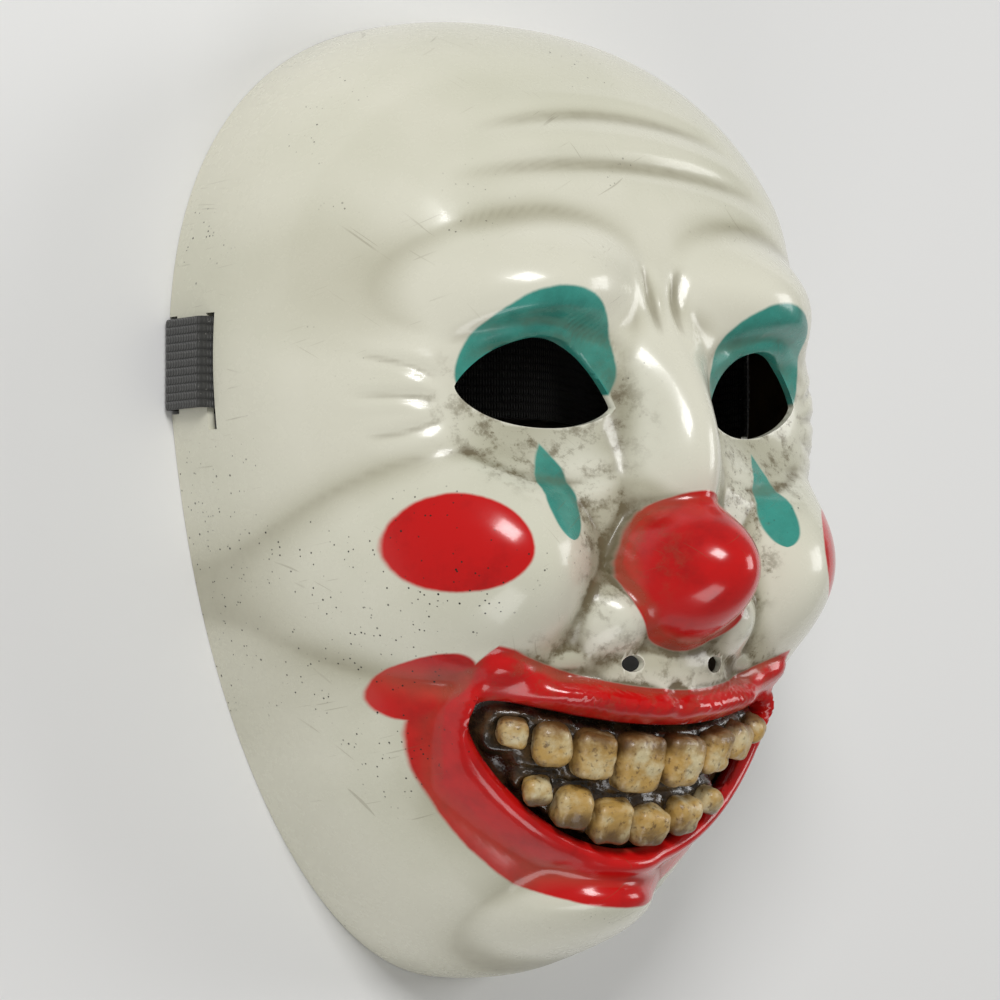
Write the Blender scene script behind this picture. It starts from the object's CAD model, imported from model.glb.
"""The looks of a hand-painted clown mask that lies face up on a pale floor.

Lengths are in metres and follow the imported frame. +Z is out of the face, +Y the top of the head.
"""

from __future__ import annotations

import logging
import math
from dataclasses import dataclass, field
from enum import Enum
from typing import Callable, Iterable

import bpy
import numpy as np
from mathutils import Matrix, Vector, noise

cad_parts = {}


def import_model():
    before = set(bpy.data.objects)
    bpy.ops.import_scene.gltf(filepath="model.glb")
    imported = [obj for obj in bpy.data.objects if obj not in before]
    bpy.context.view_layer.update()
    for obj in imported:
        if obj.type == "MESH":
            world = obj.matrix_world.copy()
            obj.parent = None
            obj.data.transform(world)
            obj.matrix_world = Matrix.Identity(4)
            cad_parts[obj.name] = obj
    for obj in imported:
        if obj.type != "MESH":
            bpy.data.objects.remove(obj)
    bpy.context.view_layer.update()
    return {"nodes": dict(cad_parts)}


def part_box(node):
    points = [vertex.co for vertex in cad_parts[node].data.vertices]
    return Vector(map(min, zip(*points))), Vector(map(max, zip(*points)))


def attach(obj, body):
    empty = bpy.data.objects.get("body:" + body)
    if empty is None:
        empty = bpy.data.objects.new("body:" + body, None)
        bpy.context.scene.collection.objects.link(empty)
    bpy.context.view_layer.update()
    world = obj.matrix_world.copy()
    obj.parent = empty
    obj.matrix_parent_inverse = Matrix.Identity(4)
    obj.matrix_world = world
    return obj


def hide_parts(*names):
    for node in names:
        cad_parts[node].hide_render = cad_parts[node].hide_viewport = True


LOG = logging.getLogger("clown_mask")
MM = 0.001
ROOT = "root"
Colour = tuple[float, float, float]


class Side(Enum):
    """The wearer's sides."""

    RIGHT = -1
    LEFT = 1


@dataclass(frozen=True)
class Form:
    """A form raised from or sunk into the face. Places and sizes are shares of the half sizes."""

    x: float
    y: float
    half_w: float
    half_h: float
    turn: float
    lift: float
    edge: float


@dataclass(frozen=True)
class Groove:
    """A wrinkle, in millimetres, with its turn in degrees. A mirrored one is on both sides."""

    x: float
    y: float
    half_length: float
    bow: float
    width: float
    depth: float
    turn: float = 0.0
    mirrored: bool = True


@dataclass(frozen=True)
class PaintedShell:
    """Ivory gloss paint with make-up and grime."""

    ivory: Colour = (0.76, 0.745, 0.62)
    shade: Colour = (0.60, 0.60, 0.46)
    red: Colour = (0.60, 0.006, 0.006)
    deep_red: Colour = (0.33, 0.004, 0.004)
    teal: Colour = (0.050, 0.33, 0.27)
    deep_teal: Colour = (0.018, 0.15, 0.12)
    grime: Colour = (0.13, 0.10, 0.045)
    wash: Colour = (0.30, 0.28, 0.16)
    speck: Colour = (0.02, 0.017, 0.012)
    roughness: float = 0.27


@dataclass(frozen=True)
class WetGum:
    """Dark resin with a wet gloss."""

    dark: Colour = (0.022, 0.016, 0.010)
    brown: Colour = (0.085, 0.050, 0.022)
    roughness: float = 0.08


@dataclass(frozen=True)
class StainedTooth:
    """Cream and ochre resin with brown stains."""

    cream: Colour = (0.66, 0.56, 0.33)
    ochre: Colour = (0.50, 0.31, 0.085)
    stain: Colour = (0.10, 0.050, 0.015)
    roughness: float = 0.30


@dataclass(frozen=True)
class BlackElastic:
    """Ribbed black webbing with light flecks."""

    black: Colour = (0.020, 0.020, 0.018)
    grey: Colour = (0.048, 0.048, 0.044)
    fleck: Colour = (0.30, 0.29, 0.26)
    roughness: float = 0.82


class Value:
    """A number in a node tree, on which Python's operators add Math nodes."""

    def __init__(self, surface: "Surface", socket: bpy.types.NodeSocket) -> None:
        """Wraps one output socket."""
        self.surface = surface
        self.socket = socket

    def _with(self, operation: str, *values: object) -> "Value":
        """Adds a Math node."""
        return self.surface.node("ShaderNodeMath", {"operation": operation}, dict(enumerate(values)))

    def __add__(self, other: object) -> "Value":
        """Sum."""
        return self._with("ADD", self, other)

    __radd__ = __add__

    def __mul__(self, other: object) -> "Value":
        """Product."""
        return self._with("MULTIPLY", self, other)

    __rmul__ = __mul__

    def __sub__(self, other: object) -> "Value":
        """Difference."""
        return self._with("SUBTRACT", self, other)

    def __rsub__(self, other: object) -> "Value":
        """Difference from another value."""
        return self._with("SUBTRACT", other, self)

    def __truediv__(self, other: object) -> "Value":
        """Quotient."""
        return self._with("DIVIDE", self, other)

    def __pow__(self, other: object) -> "Value":
        """Power."""
        return self._with("POWER", self, other)

    def __abs__(self) -> "Value":
        """Size without its sign."""
        return self._with("ABSOLUTE", self)

    def least(self, other: object) -> "Value":
        """The smaller of two."""
        return self._with("MINIMUM", self, other)

    def most(self, other: object) -> "Value":
        """The larger of two."""
        return self._with("MAXIMUM", self, other)

    def root(self) -> "Value":
        """Square root."""
        return self._with("SQRT", self)

    def step(self, low: float, high: float) -> "Value":
        """0 at low and 1 at high, smooth between, and held beyond them."""
        settings = {"interpolation_type": "SMOOTHSTEP"}
        reads = {"Value": self, "From Min": low, "From Max": high}
        return self.surface.node("ShaderNodeMapRange", settings, reads)


class Surface:
    """One material and the means to write its shader."""

    def __init__(self, name: str) -> None:
        """Starts a material with a Principled shader."""
        self.material = bpy.data.materials.new(name)
        self.material.use_nodes = True
        self.tree = self.material.node_tree
        self.shader = self.tree.nodes["Principled BSDF"]

    def node(self, kind: str, settings: dict, reads: dict, output: object = 0) -> Value:
        """Adds a node.

        Args:
            kind: the node's type.
            settings: its properties, set first. A "stops" entry is a ramp's places and colours.
            reads: values or links by socket name or number.
            output: the output socket to return.

        Returns:
            The output, wrapped.
        """
        made = self.tree.nodes.new(kind)
        for key, setting in settings.items():
            if key == "stops":
                for stop, (place, colour) in zip(made.color_ramp.elements, setting):
                    stop.position = place
                    stop.color = (*colour, 1.0)
            else:
                setattr(made, key, setting)
        for key, value in reads.items():
            socket = made.inputs[key]
            if isinstance(value, Value):
                self.tree.links.new(value.socket, socket)
            else:
                socket.default_value = value
        return Value(self, made.outputs[output])

    def place(self) -> Value:
        """The point's place on the object."""
        return self.node("ShaderNodeTexCoord", {}, {}, "Object")

    def axes_mm(self) -> tuple[Value, Value, Value]:
        """The point's place as three lengths in millimetres."""
        place = self.place()
        return tuple(self.node("ShaderNodeSeparateXYZ", {}, {0: place}, axis) * 1000.0 for axis in range(3))

    def grain(self, scale: float, detail: float = 3.0, rough: float = 0.55) -> Value:
        """Noise between about 0 and 1, with scale in cells a metre."""
        reads = {"Vector": self.place(), "Scale": scale, "Detail": detail, "Roughness": rough}
        return self.node("ShaderNodeTexNoise", {}, reads, 0)

    def attribute(self, name: str) -> Value:
        """A number kept on the mesh."""
        return self.node("ShaderNodeAttribute", {"attribute_name": name}, {}, "Fac")

    def blend(self, share: object, first: object, second: object) -> Value:
        """Mixes two colours by a share."""
        reads = {0: share}
        for key, colour in ((6, first), (7, second)):
            reads[key] = colour if isinstance(colour, Value) else (*colour, 1.0)
        return self.node("ShaderNodeMix", {"data_type": "RGBA"}, reads, 2)

    def bump(self, height: Value, depth: float) -> None:
        """Leads a height of 0 to 1 to the shader's normal, at a depth in metres."""
        reads = {"Height": height, "Distance": depth, "Strength": 1.0}
        self.feed("Normal", self.node("ShaderNodeBump", {}, reads))

    def feed(self, socket: str, value: object) -> None:
        """Sets or links one of the shader's sockets."""
        if isinstance(value, Value):
            self.tree.links.new(value.socket, self.shader.inputs[socket])
        else:
            self.shader.inputs[socket].default_value = value


def select_only(item: bpy.types.Object) -> None:
    """Makes one object the only selected and active one."""
    bpy.ops.object.select_all(action="DESELECT")
    item.select_set(True)
    bpy.context.view_layer.objects.active = item


def apply_modifier(item: bpy.types.Object, kind: str, settings: dict) -> None:
    """Adds a modifier, sets it and applies it."""
    select_only(item)
    made = item.modifiers.new(kind.lower(), kind)
    for key, value in settings.items():
        setattr(made, key, value)
    bpy.ops.object.modifier_apply(modifier=made.name)


def points_of(mesh: bpy.types.Mesh) -> np.ndarray:
    """A mesh's points as an array with a row for each."""
    flat = np.empty(len(mesh.vertices) * 3)
    mesh.vertices.foreach_get("co", flat)
    return flat.reshape(-1, 3)


def set_points(mesh: bpy.types.Mesh, points: np.ndarray) -> None:
    """Moves all of a mesh's points."""
    mesh.vertices.foreach_set("co", points.astype(np.float32).ravel())
    mesh.update()


def grid_piece(name: str, cells: int) -> bpy.types.Object:
    """A flat grid over a square of side 2."""
    bpy.ops.object.select_all(action="DESELECT")
    bpy.ops.mesh.primitive_grid_add(x_subdivisions=cells, y_subdivisions=cells, size=2)
    made = bpy.context.object
    made.name = name
    made.data.name = name
    return made


def settle(piece: bpy.types.Object, slot: str, *nodes: str) -> None:
    """Gives a finished piece its body, slot and the nodes it stands for."""
    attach(piece, ROOT)
    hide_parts(*nodes)
    LOG.info("%s: %d faces", piece.name, len(piece.data.polygons))


def soft_step(share: np.ndarray) -> np.ndarray:
    """0 below 0, 1 above 1, and smooth between."""
    held = np.clip(share, 0.0, 1.0)
    return held * held * (3 - 2 * held)


@dataclass
class FaceForm:
    """The form that the shell, the gum plate and the strap share."""

    half_width: float
    half_height: float
    dome_depth: float = 0.098
    wall: float = 0.0022
    relief: float = 0.030
    egg: float = 0.24
    rim_fullness: float = 2.25
    fullness: float = 2.3
    rim_fade: float = 0.020
    mouth_half_w: float = 0.052
    mouth_half_h: float = 0.017
    mouth_up: float = -0.082
    smile_lift: float = 0.020
    lip_width: float = 0.011
    lip_lift: float = 0.0064
    lip_set_back: float = 0.35
    lip_softness: float = 1.9
    corner_pull: float = 0.9
    raised: tuple[Form, ...] = (
        Form(0.40, 0.395, 0.38, 0.145, -8, 0.42, 1.8),
        Form(0.57, -0.17, 0.35, 0.225, 14, 0.62, 1.4),
        Form(0.0, 0.06, 0.20, 0.32, 0, 0.48, 2.0),
        Form(0.0, -0.17, 0.22, 0.158, 0, 1.0, 0.8),
        Form(0.20, -0.265, 0.16, 0.10, 16, 0.36, 1.5),
        Form(0.0, -0.38, 0.46, 0.16, 0, 0.20, 2.0),
        Form(0.0, -0.85, 0.31, 0.125, 0, 0.52, 1.6),
    )
    sunk: tuple[Form, ...] = (
        Form(0.39, 0.16, 0.37, 0.20, 0, 0.34, 2.0),
        Form(0.84, 0.40, 0.28, 0.26, 0, 0.18, 2.0),
        Form(0.86, -0.50, 0.26, 0.24, 30, 0.14, 2.0),
    )
    grooves: tuple[Groove, ...] = (
        Groove(0, 82, 60, 7, 3.4, 1.9, mirrored=False),
        Groove(0, 97, 48, 7, 3.0, 1.5, mirrored=False),
        Groove(5.5, 50, 11, 1.5, 2.2, 1.5, 82),
        Groove(39, 36, 25, 7, 2.0, 1.5, 3),
        Groove(39, 6, 21, -6, 2.0, 1.1, 4),
        Groove(73, 30, 9, 1, 1.5, 0.9, 24),
        Groove(74, 22, 10, 0.5, 1.5, 1.0, 4),
        Groove(72, 14, 9, -1, 1.5, 0.9, -18),
        Groove(44, -50, 25, -5, 3.0, 2.2, -4),
        Groove(0, -112, 22, 4, 2.8, 1.4, mirrored=False),
        Groove(0, -58, 6, 0, 2.6, 1.2, 90, mirrored=False),
    )

    def egg_share(self, rise: np.ndarray) -> np.ndarray:
        """The rim's half width at shares of the half height, before it is scaled."""
        inside = np.maximum(0.0, 1 - np.abs(rise) ** self.rim_fullness)
        return inside ** (1 / self.rim_fullness) * (1 + self.egg * rise)

    def rim_half_width(self, rise: np.ndarray) -> np.ndarray:
        """The rim's half width at shares of the half height."""
        most = self.egg_share(np.arange(-99, 100) / 100).max()
        return self.half_width * self.egg_share(rise) / most

    def plan_share(self, x: np.ndarray, y: np.ndarray) -> np.ndarray:
        """0 in the middle of the plan and 1 on the rim."""
        low = np.full(x.shape, 1e-6)
        high = np.full(x.shape, 2.0)
        for _ in range(36):
            share = (low + high) / 2
            rise = y / (self.half_height * share)
            held = np.clip(rise, -1, 1)
            inside = (np.abs(rise) < 1) & (np.abs(x) < share * self.rim_half_width(held))
            high = np.where(inside, share, high)
            low = np.where(inside, low, share)
        return (low + high) / 2

    def dome_height(self, share: np.ndarray) -> np.ndarray:
        """The dome's height at shares of the way to the rim."""
        inside = np.maximum(0.0, 1 - share**self.fullness)
        return self.dome_depth * inside ** (1 / self.fullness)

    def form_height(self, form: Form, x: np.ndarray, y: np.ndarray) -> np.ndarray:
        """How far one form stands from the dome."""
        turn = math.radians(form.turn)
        dx = np.abs(x) - form.x * self.half_width
        dy = y - form.y * self.half_height
        along = (dx * math.cos(turn) + dy * math.sin(turn)) / (form.half_w * self.half_width)
        up = (dy * math.cos(turn) - dx * math.sin(turn)) / (form.half_h * self.half_height)
        inside = np.maximum(0.0, 1 - along**2 - up**2)
        return form.lift * self.relief * inside**form.edge

    def face_height(self, x: np.ndarray, y: np.ndarray, share: np.ndarray) -> np.ndarray:
        """The face without its lips and wrinkles."""
        dome = self.dome_height(share)
        raised = sum(self.form_height(form, x, y) ** 4 for form in self.raised) ** 0.25
        sunk = sum(self.form_height(form, x, y) for form in self.sunk)
        return dome + (raised - sunk) * soft_step(dome / self.rim_fade)

    def mouth_middle(self, x: np.ndarray) -> np.ndarray:
        """The smile's middle line."""
        return self.mouth_up + self.smile_lift * (x / self.mouth_half_w) ** 2

    def mouth_distance(self, x: np.ndarray, y: np.ndarray) -> np.ndarray:
        """The distance outside the mouth's edge, negative inside it."""
        half_w, half_h = self.mouth_half_w, self.mouth_half_h
        rise = y - self.mouth_middle(x)
        ring = np.maximum(np.hypot(x / half_w, rise / half_h), 0.05)
        bend = 2 * self.smile_lift * x / half_w**2
        slope_x = (x / half_w**2 - rise * bend / half_h**2) / ring
        away = (ring - 1) / np.maximum(np.hypot(slope_x, rise / half_h**2 / ring), 1.0)
        return away + self.corner_pull * np.maximum(0.0, np.abs(x) - half_w)

    def lip_height(self, x: np.ndarray, y: np.ndarray) -> np.ndarray:
        """The rolled lip round the mouth."""
        across = 2 * (self.mouth_distance(x, y) / self.lip_width - self.lip_set_back)
        return self.lip_lift * np.maximum(0.0, 1 - across**2) ** self.lip_softness

    def groove_height(self, groove: Groove, x: np.ndarray, y: np.ndarray) -> np.ndarray:
        """One wrinkle, with the small folds beside it."""
        turn = math.radians(groove.turn)
        dx = (np.abs(x) if groove.mirrored else x) - groove.x * MM
        dy = y - groove.y * MM
        along = (dx * math.cos(turn) + dy * math.sin(turn)) / (groove.half_length * MM)
        up = dy * math.cos(turn) - dx * math.sin(turn)
        ends = np.maximum(0.0, 1 - along**2)
        off = (up - groove.bow * MM * ends) / (groove.width * MM)
        folds = 0.45 * (np.exp(-((off - 1.9) ** 2)) + np.exp(-((off + 1.9) ** 2)))
        return groove.depth * MM * ends**0.8 * (folds - np.exp(-(off**2)))

    def detail_height(self, x: np.ndarray, y: np.ndarray) -> np.ndarray:
        """Lips and wrinkles, which show on the outside alone."""
        return self.lip_height(x, y) + sum(self.groove_height(groove, x, y) for groove in self.grooves)

    def sunkenness(self, x: np.ndarray, y: np.ndarray, reaches: tuple[float, ...]) -> np.ndarray:
        """How far each place lies below what is round it, as a share of the distance.

        Args:
            x, y: the places in the plan.
            reaches: the distances at which the surroundings are read.

        Returns:
            More than 0 in a hollow and less than 0 on a height.
        """

        def height(px: np.ndarray, py: np.ndarray) -> np.ndarray:
            """The relief over the dome."""
            raised = sum(self.form_height(form, px, py) ** 4 for form in self.raised) ** 0.25
            sunk = sum(self.form_height(form, px, py) for form in self.sunk)
            return raised - sunk + self.detail_height(px, py)

        middle = height(x, y)
        total = np.zeros(x.shape)
        for reach in reaches:
            for step in range(8):
                angle = step * math.pi / 4
                near = height(x + reach * math.cos(angle), y + reach * math.sin(angle))
                total += (near - middle) / reach / 8
        return total

    def dome_place(self, x: np.ndarray, y: np.ndarray) -> tuple[np.ndarray, np.ndarray]:
        """Points of the plain dome and the outward directions there."""

        def height(px: np.ndarray, py: np.ndarray) -> np.ndarray:
            """The plain dome."""
            return self.dome_height(self.plan_share(px, py))

        step = 0.0005
        slope_x = (height(x + step, y) - height(x - step, y)) / (2 * step)
        slope_y = (height(x, y + step) - height(x, y - step)) / (2 * step)
        normal = np.stack((-slope_x, -slope_y, np.ones(x.shape)), axis=1)
        normal /= np.linalg.norm(normal, axis=1)[:, None]
        return np.stack((x, y, height(x, y)), axis=1), normal


def disc_places(flat: np.ndarray) -> tuple[np.ndarray, np.ndarray]:
    """Turns places in a square of side 2 into angles and shares of a disc's radius."""
    s, t = flat[:, 0], flat[:, 1]
    share = np.maximum(np.abs(s), np.abs(t))
    wide = np.abs(s) >= np.abs(t)
    big = np.where(wide, s, t)
    small = np.where(wide, t, s)
    lean = math.pi / 4 * small / np.where(share < 1e-9, 1.0, big)
    angle = np.where(wide, lean, math.pi / 2 - lean) + np.where(big < 0, math.pi, 0.0)
    return angle, share


@dataclass
class FaceShell:
    """The moulded shell with its openings and its paint."""

    form: FaceForm
    paint: PaintedShell
    cells: int = 214
    crowding: float = 1.2
    eye_width: float = 0.044
    eye_height: float = 0.024
    eye_spacing: float = 0.078
    eye_up: float = 0.023
    eye_arch: float = 0.004
    eye_turn: float = 6.0
    nostril_width: float = 0.0064
    nostril_height: float = 0.0046
    nostril_spacing: float = 0.029
    nostril_up: float = -0.0485
    slot_up: float = 0.034
    slot_length: float = 0.032
    slot_opening: float = 0.0034
    slot_above_rim: float = 0.018
    slot_drop: float = 0.0025
    notch_length: float = 0.027
    notch_depth: float = 0.0036
    outline_points: int = 120
    crease_reaches: tuple[float, ...] = (0.0022, 0.005)
    hollow_reaches: tuple[float, ...] = (0.009, 0.015)
    cut_reach: float = 0.020

    def outer_places(self, flat: np.ndarray) -> np.ndarray:
        """Moves a flat grid onto the outside of the shell."""
        form = self.form
        angle, ring = disc_places(flat)
        share = np.cos((1 - ring**self.crowding) * math.pi / 2) ** (2 / form.fullness)
        up = np.sin(angle)
        rise = np.sign(up) * np.abs(up) ** (2 / form.rim_fullness)
        x = np.sign(np.cos(angle)) * form.rim_half_width(rise) * share
        y = form.half_height * rise * share
        return np.stack((x, y, form.face_height(x, y, share)), axis=1)

    def prism(self, name: str, outline: Iterable[tuple[float, float]]) -> bpy.types.Object:
        """An upright prism through the face, with this outline in the plan."""
        low = self.form.dome_depth / 4
        bpy.ops.object.select_all(action="DESELECT")
        bpy.ops.mesh.primitive_circle_add(vertices=self.outline_points, fill_type="NGON")
        made = bpy.context.object
        made.name = name
        for point, (x, y) in zip(made.data.vertices, outline):
            point.co = (x, y, low)
        bpy.ops.object.mode_set(mode="EDIT")
        bpy.ops.mesh.select_all(action="SELECT")
        rise = self.form.dome_depth + self.form.relief + self.cut_reach - low
        bpy.ops.mesh.extrude_region_move(TRANSFORM_OT_translate={"value": (0, 0, rise)})
        bpy.ops.mesh.select_all(action="SELECT")
        bpy.ops.mesh.normals_make_consistent(inside=False)
        bpy.ops.object.mode_set(mode="OBJECT")
        return made

    def angles(self) -> list[float]:
        """The angles at which an outline's points lie."""
        return [2 * math.pi * step / self.outline_points for step in range(self.outline_points)]

    def eye_outline(self, side: Side) -> list[tuple[float, float]]:
        """The almond of one eye hole."""
        turn = math.radians(self.eye_turn)
        points = []
        for angle in self.angles():
            across = self.eye_width / 2 * math.cos(angle)
            bow = self.eye_arch * (1 - (2 * across / self.eye_width) ** 2)
            up = self.eye_height / 2 * math.sin(angle) * abs(math.sin(angle)) ** 0.5 + bow
            x = across * math.cos(turn) - up * math.sin(turn) + self.eye_spacing / 2
            y = across * math.sin(turn) + up * math.cos(turn) + self.eye_up
            points.append((side.value * x, y))
        return points

    def nostril_outline(self, side: Side) -> list[tuple[float, float]]:
        """The oval of one nostril."""
        middle = side.value * self.nostril_spacing / 2
        half_w, half_h = self.nostril_width / 2, self.nostril_height / 2
        return [
            (middle + half_w * math.cos(a), self.nostril_up + half_h * math.sin(a)) for a in self.angles()
        ]

    def mouth_outline(self) -> list[tuple[float, float]]:
        """The open smile."""
        form = self.form
        points = []
        for angle in self.angles():
            x = form.mouth_half_w * math.cos(angle)
            points.append((x, float(form.mouth_middle(x)) + form.mouth_half_h * math.sin(angle)))
        return points

    def wall_x(self, up: float) -> float:
        """The outside of the side wall at the strap, at a height above the rim."""
        form = self.form
        share = (1 - (up / form.dome_depth) ** form.fullness) ** (1 / form.fullness)
        return share * float(form.rim_half_width(np.float64(self.slot_up / (form.half_height * share))))

    def box(self, x: float, y: float, z: float, length: float, height: float) -> bpy.types.Object:
        """A box through the side wall."""
        bpy.ops.object.select_all(action="DESELECT")
        scale = (self.cut_reach, length, height)
        bpy.ops.mesh.primitive_cube_add(size=1, location=(x, y, z), scale=scale)
        return bpy.context.object

    def cutters(self) -> bpy.types.Object:
        """All that is cut from the shell, as one object."""
        made = [self.prism("mouth_cut", self.mouth_outline())]
        slot_y = self.slot_up - self.slot_drop
        for side in Side:
            made.append(self.prism("eye_cut", self.eye_outline(side)))
            made.append(self.prism("nostril_cut", self.nostril_outline(side)))
            wall = side.value * self.wall_x(self.slot_above_rim)
            made.append(self.box(wall, slot_y, self.slot_above_rim, self.slot_length, self.slot_opening))
            rim = side.value * self.wall_x(0.0)
            made.append(self.box(rim, self.slot_up, 0.0, self.notch_length, 2 * self.notch_depth))
        bpy.ops.object.select_all(action="DESELECT")
        for item in made:
            item.select_set(True)
        bpy.context.view_layer.objects.active = made[0]
        bpy.ops.object.join()
        bpy.ops.object.transform_apply(location=True, rotation=True, scale=True)
        return made[0]

    def build(self) -> bpy.types.Object:
        """Models the shell.

        Returns:
            The finished piece.
        """
        shell = grid_piece("face_shell", self.cells)
        places = self.outer_places(points_of(shell.data))
        set_points(shell.data, places)
        for name, reaches in (("crease", self.crease_reaches), ("hollow", self.hollow_reaches)):
            kept = shell.data.attributes.new(name, "FLOAT", "POINT")
            values = self.form.sunkenness(places[:, 0], places[:, 1], reaches)
            kept.data.foreach_set("value", values.astype(np.float32))
        outer = len(places)
        shell.data.materials.append(self.paint_surface())
        shell.data.materials.append(inside_surface())
        settings = {"thickness": self.form.wall, "offset": -1, "material_offset": 1}
        apply_modifier(shell, "SOLIDIFY", settings)
        moved = points_of(shell.data)
        moved[:outer, 2] += self.form.detail_height(moved[:outer, 0], moved[:outer, 1])
        moved[np.abs(moved[:, 2]) < self.form.wall, 2] = 0.0
        set_points(shell.data, moved)
        cutters = self.cutters()
        settings = {"operation": "DIFFERENCE", "solver": "EXACT", "object": cutters}
        apply_modifier(shell, "BOOLEAN", settings)
        bpy.data.objects.remove(cutters)
        select_only(shell)
        bpy.ops.object.shade_smooth_by_angle(angle=math.radians(64))
        settle(shell, "painted_shell", "shell")
        return shell

    def paint_surface(self) -> bpy.types.Material:
        """The make-up, laid out on the face in millimetres."""
        paint = self.paint
        surface = Surface("painted_shell")
        x, y, z = surface.axes_mm()
        side = abs(x)
        wobble = (surface.grain(70.0, 4.0) - 0.5) * 2.6
        broad = surface.grain(14.0, 3.0)
        colour = surface.blend(broad.step(0.35, 0.75) * 0.55, paint.ivory, paint.shade)
        mottle = surface.grain(170.0, 6.0, 0.7)
        crease = surface.attribute("crease")
        teal = self.teal_mask(side, y, wobble)
        red = self.red_mask(x, side, y, wobble)
        streak = surface.grain(45.0, 5.0, 0.65)
        teal_paint = surface.blend(streak.step(0.40, 0.72) * 0.7, paint.teal, paint.deep_teal)
        red_paint = surface.blend(streak.step(0.45, 0.75) * 0.75, paint.red, paint.deep_red)
        colour = surface.blend(teal, colour, teal_paint)
        colour = surface.blend(red, colour, red_paint)
        socket = self.zone(side, y, (39.0, 20.0), (36.0, 30.0))
        muzzle = self.zone(side, y, (22.0, -52.0), (44.0, 16.0))
        beside_nose = self.zone(side, y, (24.0, -14.0), (16.0, 34.0))
        zones = socket.most(muzzle).most(beside_nose)
        blots = mottle.step(0.47, 0.66) * zones * (broad * 0.9 + 0.3)
        lines = crease.step(0.05, 0.52) * (mottle * 1.4 + 0.1) * (zones * 0.65 + 0.35)
        painted = red.most(teal)
        wash = surface.attribute("hollow").step(-0.02, 0.55) * (broad * 0.6 + 0.5)
        colour = surface.blend(wash * (1.0 - painted * 0.75) * 0.72, colour, paint.wash)
        spots = surface.grain(460.0, 4.0, 0.75).step(0.56, 0.68) * zones * broad.step(0.30, 0.60)
        grime = (blots * 1.0 + spots * 0.8 + lines * 1.1).least(0.92) * (1.0 - painted * 0.6)
        colour = surface.blend(grime, colour, paint.grime)
        scratches = self.scratch_mask(surface)
        colour = surface.blend(scratches * 0.28, colour, paint.grime)
        specks = self.speck_mask(surface, self.zone(side, y, (74.0, -34.0), (26.0, 44.0)))
        colour = surface.blend(specks, colour, paint.speck)
        surface.feed("Base Color", colour)
        rough = paint.roughness + grime * 0.22 + (mottle - 0.5) * 0.10 - red * 0.07
        surface.feed("Roughness", rough)
        surface.feed("Specular IOR Level", 0.4)
        surface.feed("Coat Weight", 0.3)
        surface.feed("Coat Roughness", 0.09)
        skin = surface.grain(420.0, 2.0) * 0.12 + surface.grain(60.0, 2.0) * 0.88 + painted * 0.25
        surface.bump(skin, 0.00010)
        return surface.material

    @staticmethod
    def zone(side: Value, y: Value, middle: tuple[float, float], reach: tuple[float, float]) -> Value:
        """1 in the middle of an oval zone, falling to 0 at its edge."""
        off = (((side - middle[0]) / reach[0]) ** 2.0 + ((y - middle[1]) / reach[1]) ** 2.0).root()
        return 1.0 - off.step(0.45, 1.0)

    @staticmethod
    def teal_mask(side: Value, y: Value, wobble: Value) -> Value:
        """A rounded arch over each eye and a drop under it."""
        across, up = side - 39.0, y - 27.0
        arch = ((across / 22.6) ** 2.0 + (up / 25.0) ** 2.0).root() * 23.0 + wobble * 0.7
        taper = ((4.0 - up) / 8.0).most(0.0) ** 2.0 * 2.6
        over = (arch + taper).step(23.5, 22.5) * (up - across * 0.10 + wobble * 0.4).step(-4.6, -3.4)
        share = ((y + 16.0) / 28.0).most(0.0).least(1.0)
        half = share.root() * (1.0 - share) * 18.5 - 0.9
        drop = abs(side - 38.0) + wobble * 0.5 - half
        return over.most(drop.step(0.5, -0.6))

    def red_mask(self, x: Value, side: Value, y: Value, wobble: Value) -> Value:
        """The nose, the mouth's band with its round ends, and the cheek spots."""
        form = self.form
        nose = ((x / 22.0) ** 2.0 + ((y + 23.5) / 22.0) ** 2.0).root() * 22.0 + wobble * 0.3
        half_w, half_h = form.mouth_half_w / MM, form.mouth_half_h / MM
        rise = y - ((side / half_w) ** 2.0 * (form.smile_lift / MM) + form.mouth_up / MM)
        ring = ((side / half_w) ** 2.0 + (rise / half_h) ** 2.0).root().most(0.05)
        bend = side * (2.0 * form.smile_lift / MM / half_w**2)
        slope_x = (side / half_w**2 - rise * bend / half_h**2) / ring
        slope_y = rise / (ring * half_h**2)
        away = (ring - 1.0) / (slope_x * slope_x + slope_y * slope_y).root().most(0.001)
        away = away + (side - half_w).most(0.0) * form.corner_pull
        lips = (away + wobble * 0.4).step(9.9, 9.3)
        half_w, half_h = half_w + 10.5, half_h + 11.5
        middle = (side / half_w) ** 2.0 * 24.5 + (form.mouth_up / MM - 4.8)
        ring = ((side / half_w) ** 2.0 + ((y - middle) / half_h) ** 2.0).root()
        under = (ring * half_h + wobble * 0.5).step(half_h + 0.4, half_h - 0.4)
        end = ((side - 61.0) ** 2.0 + (y + 55.0) ** 2.0).root() + wobble * 0.5
        spot = ((side - 65.0) ** 2.0 + (y + 17.0) ** 2.0).root() + wobble * 0.6
        dots = end.step(9.4, 8.6).most(spot.step(13.6, 12.6))
        return lips.most(under).most(dots).most(nose.step(22.0, 21.2))

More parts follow.
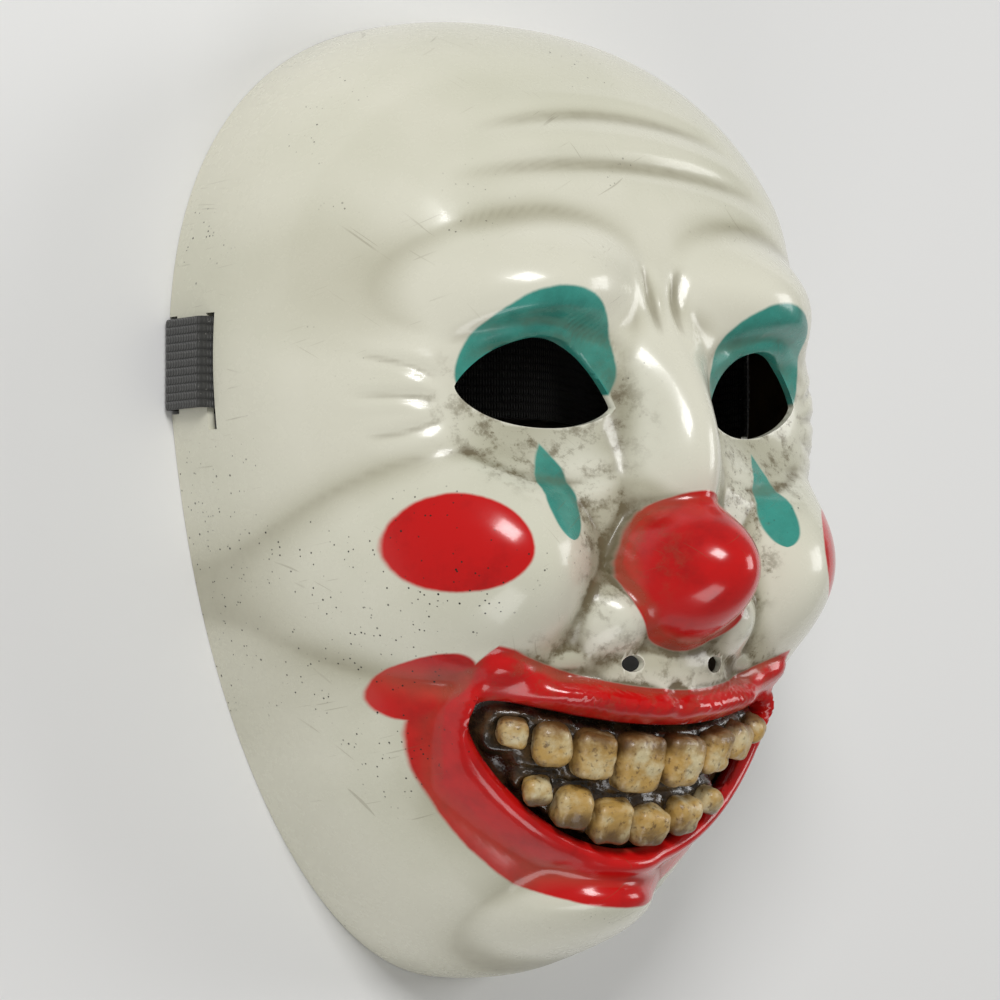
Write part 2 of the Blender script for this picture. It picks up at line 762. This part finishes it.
    @staticmethod
    def scratch_mask(surface: Surface) -> Value:
        """Fine scratches along two slants, in patches."""
        patch = surface.grain(19.0, 2.0).step(0.50, 0.62)
        total = None
        for turn in (0.5, -0.9):
            reads = {"Vector": surface.place(), "Rotation": (0.0, 0.0, turn), "Scale": (0.022, 0.0007, 0.02)}
            drawn = surface.node("ShaderNodeMapping", {"vector_type": "TEXTURE"}, reads)
            reads = {"Vector": drawn, "Scale": 1.0, "Detail": 1.0, "Roughness": 0.5}
            lines = surface.node("ShaderNodeTexNoise", {}, reads).step(0.715, 0.745)
            total = lines if total is None else total.most(lines)
        return total * patch

    @staticmethod
    def speck_mask(surface: Surface, cheek: Value) -> Value:
        """Fine dark specks in patches, with more of them on the lower cheeks."""
        total = None
        for scale, size in ((620.0, 0.20), (330.0, 0.13)):
            reads = {"Vector": surface.place(), "Scale": scale}
            near = surface.node("ShaderNodeTexVoronoi", {}, reads, "Distance")
            some = surface.grain(scale * 0.55, 1.0).step(0.53, 0.57)
            dots = near.step(size, size * 0.6) * some
            total = dots if total is None else total.most(dots)
        patch = (surface.grain(26.0, 3.0) + cheek * 0.16).step(0.54, 0.66)
        return total * patch


def inside_surface() -> bpy.types.Material:
    """The bare dark brown inside of the shell."""
    surface = Surface("shell_inside")
    patch = surface.grain(38.0, 5.0, 0.65)
    colour = surface.blend(patch.step(0.35, 0.70), (0.17, 0.105, 0.038), (0.085, 0.052, 0.020))
    surface.feed("Base Color", colour)
    surface.feed("Roughness", 0.55 + (patch - 0.5) * 0.2)
    surface.bump(surface.grain(300.0, 4.0), 0.0004)
    return surface.material


@dataclass
class GumPlate:
    """The dark plate behind the mouth, with gums heaped round each tooth."""

    form: FaceForm
    finish: WetGum
    teeth: dict[str, tuple[Vector, Vector]]
    plate_gap: float = 0.0006
    thickness: float = 0.0025
    flange: float = 0.007
    cells: int = 110
    heap: float = 0.0030

    def build(self) -> bpy.types.Object:
        """Models the plate and its gums."""
        form = self.form
        plate = grid_piece("gum_flesh", self.cells)
        angle, ring = disc_places(points_of(plate.data))
        x = (form.mouth_half_w + self.flange) * np.cos(angle) * ring
        y = form.mouth_middle(x) + (form.mouth_half_h + self.flange) * np.sin(angle) * ring
        on_dome, normal = form.dome_place(x, y)
        places = on_dome - normal * (form.wall + self.plate_gap)
        set_points(plate.data, places)
        outer = len(places)
        apply_modifier(plate, "SOLIDIFY", {"thickness": self.thickness, "offset": -1})
        moved = points_of(plate.data)
        moved[:outer] += normal * self.gum_height(x, y)[:, None]
        set_points(plate.data, moved)
        plate.data.shade_smooth()
        plate.data.materials.append(self.surface())
        settle(plate, "gum", "gum_plate")
        return plate

    def gum_height(self, x: np.ndarray, y: np.ndarray) -> np.ndarray:
        """How far the gums stand from the plate, which is nothing beyond the mouth's edge."""
        total = np.zeros(x.shape)
        for low, high in self.teeth.values():
            middle, half = (low + high) / 2, (high - low) / 2
            across = np.abs(x - middle.x) / (half.x + 0.0012)
            up = np.abs(y - middle.y) / (half.y + 0.0012)
            round_off = (across**4 + up**4) ** 0.25
            total = np.maximum(total, np.exp(-((round_off - 0.85) ** 2) * 9))
        lumps = np.array([noise.noise(Vector((px * 260, py * 260, 0.0))) for px, py in zip(x, y)])
        inside = soft_step(-self.form.mouth_distance(x, y) / 0.003)
        return inside * (total * self.heap + lumps * 0.0007)

    def surface(self) -> bpy.types.Material:
        """Wet dark resin, browner on its heights."""
        surface = Surface("gum")
        patch = surface.grain(190.0, 5.0, 0.7)
        colour = surface.blend(patch.step(0.40, 0.66), self.finish.dark, self.finish.brown)
        surface.feed("Base Color", colour)
        surface.feed("Roughness", self.finish.roughness + patch * 0.12)
        surface.feed("Coat Weight", 0.5)
        surface.feed("Coat Roughness", 0.05)
        surface.bump(surface.grain(330.0, 4.0), 0.0008)
        return surface.material


@dataclass
class ToothSet:
    """The uneven teeth, worn round and pitted."""

    finish: StainedTooth
    voxel: float = 0.0006
    swell: float = 0.0009
    lump: float = 0.0009
    made: list[bpy.types.Object] = field(default_factory=list)

    def build(self, nodes: dict[str, bpy.types.Object]) -> None:
        """Models each tooth where its block stands."""
        enamel = self.surface()
        for name in sorted(nodes):
            if not name.startswith("tooth_"):
                continue
            tooth = bpy.data.objects.new(f"{name}_enamel", nodes[name].data.copy())
            bpy.context.scene.collection.objects.link(tooth)
            select_only(tooth)
            bpy.ops.object.mode_set(mode="EDIT")
            bpy.ops.mesh.select_all(action="SELECT")
            bpy.ops.mesh.remove_doubles(threshold=1e-6)
            bpy.ops.object.mode_set(mode="OBJECT")
            apply_modifier(tooth, "REMESH", {"mode": "VOXEL", "voxel_size": self.voxel})
            apply_modifier(tooth, "SMOOTH", {"factor": 0.6, "iterations": 14})
            self.roughen(tooth.data, name.startswith("tooth_upper"))
            tooth.data.shade_smooth()
            tooth.data.materials.clear()
            tooth.data.materials.append(enamel)
            settle(tooth, "teeth", name)
            self.made.append(tooth)

    def roughen(self, mesh: bpy.types.Mesh, upper: bool) -> None:
        """Swells a tooth back to size, gives it lumps and pits, and marks its root end."""
        places = points_of(mesh)
        rise = (places[:, 1] - places[:, 1].min()) / np.ptp(places[:, 1])
        root = mesh.attributes.new("root", "FLOAT", "POINT")
        root.data.foreach_set("value", (rise if upper else 1 - rise).astype(np.float32))
        middle = (places.min(axis=0) + places.max(axis=0)) / 2
        off = np.abs(places - middle)[:, :2] / (np.ptp(places, axis=0)[:2] / 2)
        edge = mesh.attributes.new("edge", "FLOAT", "POINT")
        edge.data.foreach_set("value", ((off**3).sum(axis=1) ** (1 / 3)).astype(np.float32))
        normals = np.empty(len(mesh.vertices) * 3)
        mesh.vertices.foreach_get("normal", normals)
        moves = []
        for place in places:
            point = Vector(place)
            broad = noise.noise(point * 170.0)
            fine = noise.noise(point * 620.0)
            moves.append(self.swell + self.lump * broad + self.lump * 0.28 * fine)
        set_points(mesh, places + normals.reshape(-1, 3) * np.array(moves)[:, None])

    def surface(self) -> bpy.types.Material:
        """Cream to ochre with brown stains and pits."""
        finish = self.finish
        surface = Surface("teeth")
        patch = surface.grain(120.0, 4.0, 0.6)
        pits = surface.grain(520.0, 5.0, 0.7)
        colour = surface.blend(patch.step(0.36, 0.58), finish.cream, finish.ochre)
        worn = patch - 0.5
        edge = (surface.attribute("edge") + worn * 0.8).step(0.62, 1.05)
        colour = surface.blend(edge * 0.75, colour, finish.ochre)
        root = (surface.attribute("root") + worn * 0.9).step(0.50, 0.98)
        colour = surface.blend(root * 0.9, colour, finish.stain)
        dirt = (surface.attribute("edge") + worn * 0.5).step(0.90, 1.10)
        colour = surface.blend(dirt * 0.85, colour, finish.stain)
        colour = surface.blend(pits.step(0.53, 0.68) * 0.8, colour, finish.stain)
        surface.feed("Base Color", colour)
        surface.feed("Roughness", finish.roughness + pits * 0.2)
        surface.feed("Coat Weight", 0.3)
        surface.feed("Coat Roughness", 0.15)
        surface.bump(pits * 0.6 + patch * 0.4, 0.0006)
        return surface.material


@dataclass
class ElasticStrap:
    """The flat ribbed elastic, through the slots and round the rim."""

    shell: FaceShell
    finish: BlackElastic
    width: float = 0.025
    thickness: float = 0.0013
    clearance: float = 0.0010
    bend: float = 0.0018
    tail_gap: float = 0.0020
    hump: float = 0.035
    hump_span: float = 0.126
    ribs: int = 11
    rib_share: float = 0.22
    points_per_rib: int = 6

    def side_route(self) -> list[Vector]:
        """One side of the route in X and Z, from the sewn tail to the hump."""
        half = self.thickness / 2
        up = self.shell.slot_above_rim
        inside = self.shell.wall_x(up) - self.shell.form.wall - self.clearance - half
        outside = self.shell.wall_x(0.0) + self.clearance + half
        corners = [
            Vector((inside, self.thickness + self.tail_gap)),
            Vector((inside, up)),
            Vector((outside, up)),
            Vector((outside, half)),
            Vector((self.hump_span / 2 + self.bend, half)),
        ]
        route = [corners[0]]
        for before, corner, after in zip(corners, corners[1:], corners[2:]):
            first = corner + (before - corner).normalized() * self.bend
            last = corner + (after - corner).normalized() * self.bend
            for step in range(5):
                t = step / 4
                route.append(first * (1 - t) ** 2 + corner * 2 * t * (1 - t) + last * t * t)
        return route + [corners[-1]]

    def route(self) -> list[Vector]:
        """The whole route in X and Z."""
        side = self.side_route()
        steps = 48
        hump = []
        for step in range(steps + 1):
            x = self.hump_span * (0.5 - step / steps)
            rise = self.hump * (1 + math.cos(2 * math.pi * x / self.hump_span)) / 2
            hump.append(Vector((x, self.thickness / 2 + rise)))
        return side + hump + [Vector((-point.x, point.y)) for point in reversed(side)]

    def build(self) -> bpy.types.Object:
        """Models the ribbed band by sweeping its ribbed section along the route."""
        route = self.route()
        across = self.ribs * self.points_per_rib
        bpy.ops.object.select_all(action="DESELECT")
        bpy.ops.mesh.primitive_grid_add(x_subdivisions=len(route) - 1, y_subdivisions=across, size=2)
        band = bpy.context.object
        band.name = "ribbed_elastic"
        band.data.name = band.name
        flat = points_of(band.data)
        columns = np.rint((flat[:, 0] + 1) / 2 * (len(route) - 1)).astype(int)
        line = np.array([(point.x, point.y) for point in route])
        ahead = np.gradient(line, axis=0)
        ahead /= np.linalg.norm(ahead, axis=1)[:, None]
        outward = np.stack((ahead[:, 1], -ahead[:, 0]), axis=1)
        share = (flat[:, 1] + 1) / 2
        dip = (1 - np.abs(np.sin(share * self.ribs * math.pi))) ** 2 * self.rib_share * self.thickness
        length = np.concatenate(([0.0], np.cumsum(np.linalg.norm(np.diff(line, axis=0), axis=1))))
        LOG.info("elastic is %.0f mm long", length[-1] / MM)
        self.add_uv(band.data, length[columns], share * self.width)
        apply_modifier(band, "SOLIDIFY", {"thickness": self.thickness, "offset": 0})
        places = points_of(band.data)
        top = places[:, 2] > 0
        index = np.concatenate((columns, columns))[: len(places)]
        dips = np.concatenate((dip, dip))[: len(places)]
        shares = np.concatenate((share, share))[: len(places)]
        off = np.where(top, 1.0, -1.0) * (self.thickness / 2 - dips)
        centre = line[index] + outward[index] * off[:, None]
        y = self.shell.slot_up + (shares - 0.5) * self.width
        set_points(band.data, np.stack((centre[:, 0], y, centre[:, 1]), axis=1))
        select_only(band)
        bpy.ops.object.mode_set(mode="EDIT")
        bpy.ops.mesh.select_all(action="SELECT")
        bpy.ops.mesh.normals_make_consistent(inside=False)
        bpy.ops.object.mode_set(mode="OBJECT")
        bpy.ops.object.shade_smooth_by_angle(angle=math.radians(50))
        band.data.materials.append(self.surface())
        settle(band, "elastic", "elastic_strap")
        return band

    @staticmethod
    def add_uv(mesh: bpy.types.Mesh, along: np.ndarray, across: np.ndarray) -> None:
        """Gives the band a map whose lengths are real metres."""
        layer = mesh.uv_layers.active or mesh.uv_layers.new(name="UVMap")
        corners = np.empty(len(mesh.loops), dtype=np.int32)
        mesh.loops.foreach_get("vertex_index", corners)
        flat = np.stack((along[corners], across[corners]), axis=1).astype(np.float32)
        layer.data.foreach_set("uv", flat.ravel())

    def surface(self) -> bpy.types.Material:
        """Cross threads between the ribs, with light flecks."""
        finish = self.finish
        surface = Surface("elastic")
        uv = surface.node("ShaderNodeTexCoord", {}, {}, "UV")
        along = surface.node("ShaderNodeSeparateXYZ", {}, {0: uv}, 0)
        across = surface.node("ShaderNodeSeparateXYZ", {}, {0: uv}, 1)
        turn = across * (self.ribs * math.pi / self.width)
        crest = abs(surface.node("ShaderNodeMath", {"operation": "SINE"}, {0: turn}))
        wave = surface.node("ShaderNodeMath", {"operation": "SINE"}, {0: along * 7800.0})
        thread = wave * 0.5 + 0.5
        lint = surface.grain(900.0, 3.0, 0.7)
        colour = surface.blend(crest * (thread * 0.5 + 0.5), finish.black, finish.grey)
        colour = surface.blend(lint.step(0.66, 0.74), colour, finish.fleck)
        surface.feed("Base Color", colour)
        surface.feed("Roughness", finish.roughness)
        surface.feed("Sheen Weight", 0.25)
        surface.bump(thread * crest * 0.7 + lint * 0.3, 0.0004)
        return surface.material


@dataclass
class Studio:
    """The floor, the soft lights and the camera."""

    turn: float = 38.0
    below: float = 3.0
    distance: float = 1.15
    frame_height: float = 0.282
    sensor: float = 36.0
    aim: tuple[float, float, float] = (-0.0124, -0.0018, 0.0365)

    def build(self) -> None:
        """Sets up all of the studio."""
        self.floor()
        self.world()
        self.light("key", (-0.60, 0.70, 1.05), 0.45, 11.0)
        self.light("fill", (0.95, 0.15, 0.70), 0.50, 4.0)
        self.light("low", (-0.35, -0.95, 0.55), 0.50, 2.6)
        self.camera()

    def floor(self) -> None:
        """A plain pale floor."""
        bpy.ops.object.select_all(action="DESELECT")
        bpy.ops.mesh.primitive_plane_add(size=6, location=(0, 0, -0.0002))
        floor = bpy.context.object
        floor.name = "floor"
        surface = Surface("floor")
        surface.feed("Base Color", (0.80, 0.80, 0.79, 1.0))
        surface.feed("Roughness", 0.8)
        floor.data.materials.append(surface.material)

    def world(self) -> None:
        """Soft light from all round."""
        world = bpy.data.worlds.new("studio")
        bpy.context.scene.world = world
        world.use_nodes = True
        world.node_tree.nodes["Background"].inputs[0].default_value = (1.0, 0.99, 0.97, 1.0)
        world.node_tree.nodes["Background"].inputs[1].default_value = 0.22

    def light(self, name: str, place: tuple[float, float, float], size: float, power: float) -> None:
        """A soft square lamp that points at the mask."""
        lamp = bpy.data.lights.new(name, "AREA")
        lamp.size = size
        lamp.energy = power
        holder = bpy.data.objects.new(name, lamp)
        bpy.context.scene.collection.objects.link(holder)
        holder.location = place
        holder.rotation_euler = (Vector(self.aim) - Vector(place)).to_track_quat("-Z", "Y").to_euler()

    def camera(self) -> None:
        """A long lens at the photograph's angle to the face, with the head's top up."""
        turn, below = math.radians(self.turn), math.radians(self.below)
        back = Vector((-math.sin(turn) * math.cos(below), -math.sin(below), math.cos(turn) * math.cos(below)))
        side = Vector((0, 1, 0)).cross(back).normalized()
        up = back.cross(side)
        data = bpy.data.cameras.new("camera")
        data.sensor_width = self.sensor
        data.lens = self.sensor * self.distance / self.frame_height
        camera = bpy.data.objects.new("camera", data)
        bpy.context.scene.collection.objects.link(camera)
        axes = Matrix((side, up, back)).transposed().to_4x4()
        camera.matrix_world = Matrix.Translation(Vector(self.aim) + back * self.distance) @ axes
        bpy.context.scene.camera = camera


def main() -> None:
    """Builds the mask round its frame."""
    logging.basicConfig(level=logging.INFO, format="%(message)s")
    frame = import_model()
    low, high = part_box("shell")
    form = FaceForm(half_width=(high.x - low.x) / 2, half_height=(high.y - low.y) / 2)
    shell = FaceShell(form, PaintedShell())
    teeth = {name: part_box(name) for name in frame["nodes"] if name.startswith("tooth_")}
    ToothSet(StainedTooth()).build(frame["nodes"])
    GumPlate(form, WetGum(), teeth).build()
    ElasticStrap(shell, BlackElastic()).build()
    shell.build()
    Studio().build()
    bpy.context.scene.view_settings.view_transform = "Standard"


if __name__ == "__main__":
    main()
